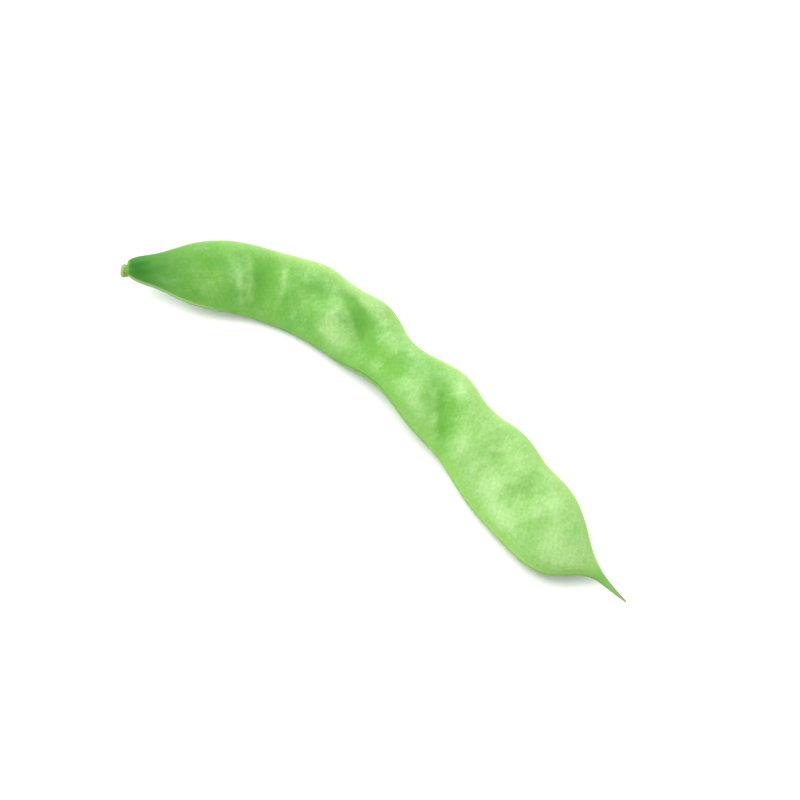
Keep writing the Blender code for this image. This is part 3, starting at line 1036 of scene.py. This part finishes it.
def skin_green(sheet, place):
    """The greens: paler towards the tip, yellower rims with painted glow, painted shade in hollows."""
    along, across, through = sheet.split(place)
    share = along / CHORD
    from_edge = kept_on(sheet, "from_edge")
    at_back = sheet.above(across, 0.0)
    yellow = patches(sheet, place, *YELLOW_PATCHES) * YELLOW_STRENGTH
    front_rim = sheet.ramp(from_edge, *FRONT_RIM_FADE) * sheet.ramp(share, *FRONT_RIM_ALONG)
    back_rim = sheet.ramp(from_edge, *BACK_RIM_FADE) * sheet.ramp(share, *BACK_RIM_ALONG)
    in_hollow = sheet.ramp(kept_on(sheet, "sink"), *HOLLOW_SHADE_FADE)
    shade_and_dark_green = sheet.math("MINIMUM", kept_on(sheet, "shade_and_dark_green") * SHADE_AND_DARK_STRENGTH + in_hollow, 1.0)
    return sheet.coated(
        STEM_HALF_GREEN,
        (sheet.ramp(share, *TIP_HALF_FADE), TIP_HALF_GREEN),
        (yellow, YELLOW_GREEN),
        # Painted glow at the rims, painted shade in hollows and shade patches, wax with painted sheen
        (front_rim * (1 - at_back), FRONT_RIM_GLOW_GREEN),
        (back_rim * at_back, BACK_RIM_GLOW_GREEN),
        (shade_and_dark_green, PAINTED_SHADE_GREEN),
        (wax_and_painted_sheen(sheet, place, share, from_edge), WAX_AND_SHEEN_GREEN),
        (sheet.ramp(share, *STEM_END_FADE), STEM_END_GREEN),
        (kept_on(sheet, "shade_and_dark_green") * sheet.ramp(share, *STEM_TIP_FADE), STEM_TIP_GREEN),
        (rim_highlights(sheet, share, through, from_edge, at_back), RIM_HIGHLIGHT_GREEN),
        (sheet.ramp(share, *STALK_GREEN_FADE), STALK_GREEN),
        (sheet.ramp(share, *BEAK_FADE), BEAK_GREEN),
    )


def skin_veins(sheet, place):
    """Faint veins that run slantwise from the seams, as a mask."""
    along, across, through = sheet.split(place)
    slant_along, slant_across = VEIN_SLANT
    sway = sheet.noise(place, VEIN_SWAY_SIZE, VEIN_SEED) * VEIN_SWAY
    slant = along * slant_along + across * sheet.math("SIGN", through) * slant_across + sway
    strength = sheet.ramp(kept_on(sheet, "from_edge"), *VEIN_FADE)
    return (sheet.math("SINE", slant * VEIN_CLOSENESS) * 0.5 + 0.5) * strength


def surface(sheet, shader, colour, roughness, height, bump, bump_strength):
    """Feed a shader its colour, its roughness, and the bump of its surface."""
    feeds = {"Height": height, "Distance": bump * MM, "Strength": bump_strength}
    normal = sheet.field("ShaderNodeBump", feeds)
    for name, value in {"Base Color": colour, "Roughness": roughness, "Normal": normal}.items():
        sheet.feed(shader.inputs[name], value)


def pod_skin():
    """Satin green skin with painted sheen and shade, paler rims, faint veins, mottling, specks, a dry
    tip.
    """
    made, sheet, shader = new_material("pod_skin")
    place = kept_on(sheet, "pod_place", "Vector")
    along, _, through = sheet.split(place)
    veins = skin_veins(sheet, place)
    fine = patches(sheet, place, *FINE_MOTTLING)
    dark_place = sheet.added(place, DARK_SPECKS_MOVED)
    near_edge = sheet.ramp(kept_on(sheet, "from_edge"), *SEAM_COLOUR_FADE)
    seam = sheet.bell(through, SEAM_COLOUR_HALF_WIDTH) * near_edge * SEAM_COLOUR
    stray = sheet.noise(place, DRY_STRAY_SIZE, DRY_STRAY_SEED) * DRY_STRAY
    dry = sheet.ramp(along / CHORD + stray, *DRY_TIP_FADE)
    colour = sheet.coated(
        skin_green(sheet, place),
        (veins * VEIN_STRENGTH, VEIN_GREEN),
        (fine * FINE_STRENGTH, VEIN_GREEN),
        (specks(sheet, place, *PALE_SPECKS) * PALE_SPECK_STRENGTH, PALE_SPECK),
        (specks(sheet, dark_place, *DARK_SPECKS) * DARK_SPECK_STRENGTH, DARK_SPECK),
        (seam, SEAM_OLIVE),
        (dry, DRY_TIP),
    )
    roughness = SKIN_ROUGHNESS + fine * ROUGH_MOTTLING + dry * ROUGH_DRY_TIP
    height = veins * VEIN_BUMP + fine * MOTTLING_BUMP
    surface(sheet, shader, colour, roughness, height, SKIN_BUMP, SKIN_BUMP_STRENGTH)
    set_gloss(shader, specular=0.16, sheen=0.03, glow=0.25)
    return made


def stalk_tan():
    """Dry, fibrous stalk, greener at its root and straw-coloured where it tore."""
    made, sheet, shader = new_material("stalk_tan")
    place = sheet.scaled(sheet.field("ShaderNodeTexCoord", {}, "Object"), 1 / MM)
    out = kept_on(sheet, "out")
    streaks = patches(sheet, place, *STALK_STREAKS)
    colour = sheet.coated(
        STALK_GREEN,
        (sheet.ramp(out, *STALK_FADE), STALK_TAN),
        (sheet.ramp(out, *STRAW_FADE), TORN_STRAW),
        (streaks * STREAK_STRENGTH, TORN_BROWN),
        (specks(sheet, place, *STALK_SPECKS) * STALK_SPECK_STRENGTH, TORN_BROWN),
    )
    roughness = STALK_ROUGHNESS + streaks * ROUGH_STREAKS
    surface(sheet, shader, colour, roughness, streaks, STALK_BUMP, STALK_BUMP_STRENGTH)
    set_gloss(shader, specular=0.3, sheen=0.1, glow=0.15)
    return made


def make_pod():
    """Grow the pod, set it down where its solid is, and give how far it was moved."""
    pod = grow("bean_pod", make_spine(), pod_tree(), {"Skin": pod_skin()})
    pod.data.transform(Matrix.Scale(MM, 4))
    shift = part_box("pod")[0] - low_corner(pod)
    shift.z = 0.0
    pod.data.transform(Matrix.Translation(shift))
    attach(pod, "root")
    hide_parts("pod")
    return shift


def make_stub(shift):
    """Grow the stub, and set it on the pod's end."""
    stub = grow("stalk_stub_torn", make_stub_profile(), stub_tree(), {"Stalk": stalk_tan()})
    points, along, across, _ = spine_axes(ring_shares())
    outward = -along[0]
    axes = np.column_stack([across[0], np.cross(outward, across[0]), outward])
    start = Vector(points[0] + outward * STUB_GAP + across[0] * STUB_ACROSS) * MM + shift
    turned = Matrix(axes.tolist()).to_4x4() @ Matrix.Scale(MM, 4)
    stub.data.transform(Matrix.Translation(start) @ turned)
    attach(stub, "root")
    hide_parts("stalk_stub")


def away(azimuth, elevation):
    """Give the direction from the bean at an azimuth and elevation in degrees."""
    a = math.radians(azimuth)
    e = math.radians(elevation)
    return Vector((math.sin(a) * math.cos(e), -math.cos(a) * math.cos(e), math.sin(e)))


def make_camera():
    """Set the camera at the photo's angle, with the aim point at its pixel."""
    back = away(AZIMUTH, ELEVATION)
    right = Vector((math.cos(math.radians(AZIMUTH)), math.sin(math.radians(AZIMUTH)), 0.0))
    up = back.cross(right)
    pixel = DISTANCE * SENSOR / LENS / PICTURE
    rightwards = (AIM_PIXEL[0] - PICTURE / 2) * pixel
    downwards = (AIM_PIXEL[1] - PICTURE / 2) * pixel
    camera = bpy.data.objects.new("camera", bpy.data.cameras.new("camera"))
    camera.data.lens = LENS
    camera.data.sensor_width = SENSOR
    camera.data.clip_start = NEAREST
    camera.location = AIM + back * DISTANCE - right * rightwards + up * downwards
    camera.rotation_euler = (-back).to_track_quat("-Z", "Y").to_euler()
    bpy.context.scene.collection.objects.link(camera)
    bpy.context.scene.camera = camera


def make_floor():
    """Lay a plain pale floor, which the strong light turns white."""
    sides = ((-1, -1), (1, -1), (1, 1), (-1, 1))
    corners = [(FLOOR_HALF * x, FLOOR_HALF * y, 0.0) for x, y in sides]
    mesh = bpy.data.meshes.new("floor")
    mesh.from_pydata(corners, [], [(0, 1, 2, 3)])
    made, _, shader = new_material("floor_pale")
    shader.inputs["Base Color"].default_value = FLOOR_PALE
    shader.inputs["Roughness"].default_value = FLOOR_ROUGHNESS
    shader.inputs["Specular IOR Level"].default_value = 0.0
    mesh.materials.append(made)
    floor = bpy.data.objects.new("floor", mesh)
    bpy.context.scene.collection.objects.link(floor)


def softbox(name, azimuth, elevation, distance, size, watts):
    """Hang a square softbox that faces the bean."""
    direction = away(azimuth, elevation)
    light = bpy.data.lights.new(name, "AREA")
    light.shape = "SQUARE"
    light.size = size
    light.energy = watts
    lamp = bpy.data.objects.new(name, light)
    lamp.location = direction * distance
    lamp.rotation_euler = (-direction).to_track_quat("-Z", "Y").to_euler()
    bpy.context.scene.collection.objects.link(lamp)


def make_light():
    """Light the bean softly all round, and most from above and behind."""
    world = bpy.data.worlds.new("studio")
    world.use_nodes = True
    background = world.node_tree.nodes["Background"]
    background.inputs["Color"].default_value = (1.0, 1.0, 1.0, 1.0)
    background.inputs["Strength"].default_value = WORLD_LIGHT
    bpy.context.scene.world = world
    for name, numbers in SOFTBOXES.items():
        softbox(name, *numbers)
    bpy.context.scene.view_settings.view_transform = "Standard"


# Node groups that are placed more than once
OVAL = oval_group()
SOFT_PATCHES = patches_group()
SPECKS = specks_group()

make_camera()
make_floor()
make_light()
pod_shift = make_pod()
make_stub(pod_shift)
